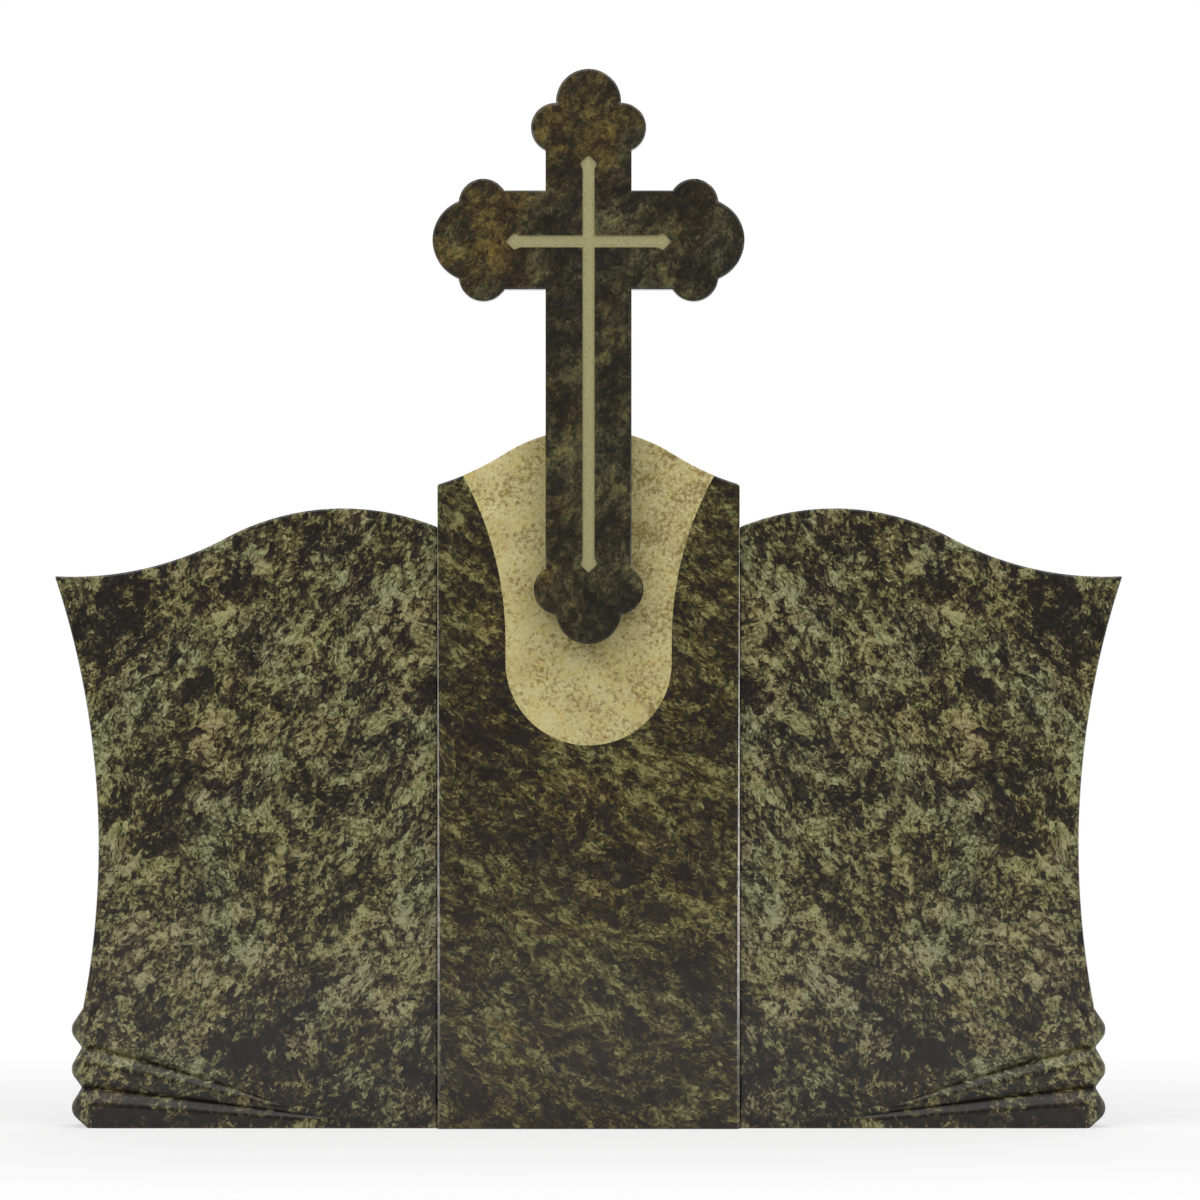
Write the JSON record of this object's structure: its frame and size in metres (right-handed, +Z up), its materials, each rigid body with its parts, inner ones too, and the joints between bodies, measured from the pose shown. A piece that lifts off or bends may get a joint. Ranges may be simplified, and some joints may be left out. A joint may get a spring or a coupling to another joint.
{
  "type": "three-slab headstone with budded cross",
  "caption": "Upright granite memorial: bell-topped middle slab with an inlaid panel and a standing budded cross, between two curved wing slabs with carved folds.",
  "frame": {"origin": "on the ground, midway between the wing slabs' outer corners and midway from the cross's front face to the middle slab's back", "axes": "+X along the memorial to the right as seen from the front, +Y to the back, +Z up"},
  "size_m": [1.5, 0.22, 1.484],
  "materials": {
    "wing_granite": "polished, mottled olive green",
    "slab_granite": "polished, mottled dark olive green",
    "cross_granite": "polished, mottled brown and green",
    "panel_stone": "honed beige, with brown specks and veins"
  },
  "bodies": {
    "root": {"left_wing": "wing_granite", "right_wing": "wing_granite", "middle_slab": "slab_granite", "inlaid_panel": "panel_stone", "cross": "cross_granite"}
  },
  "joints": []
}
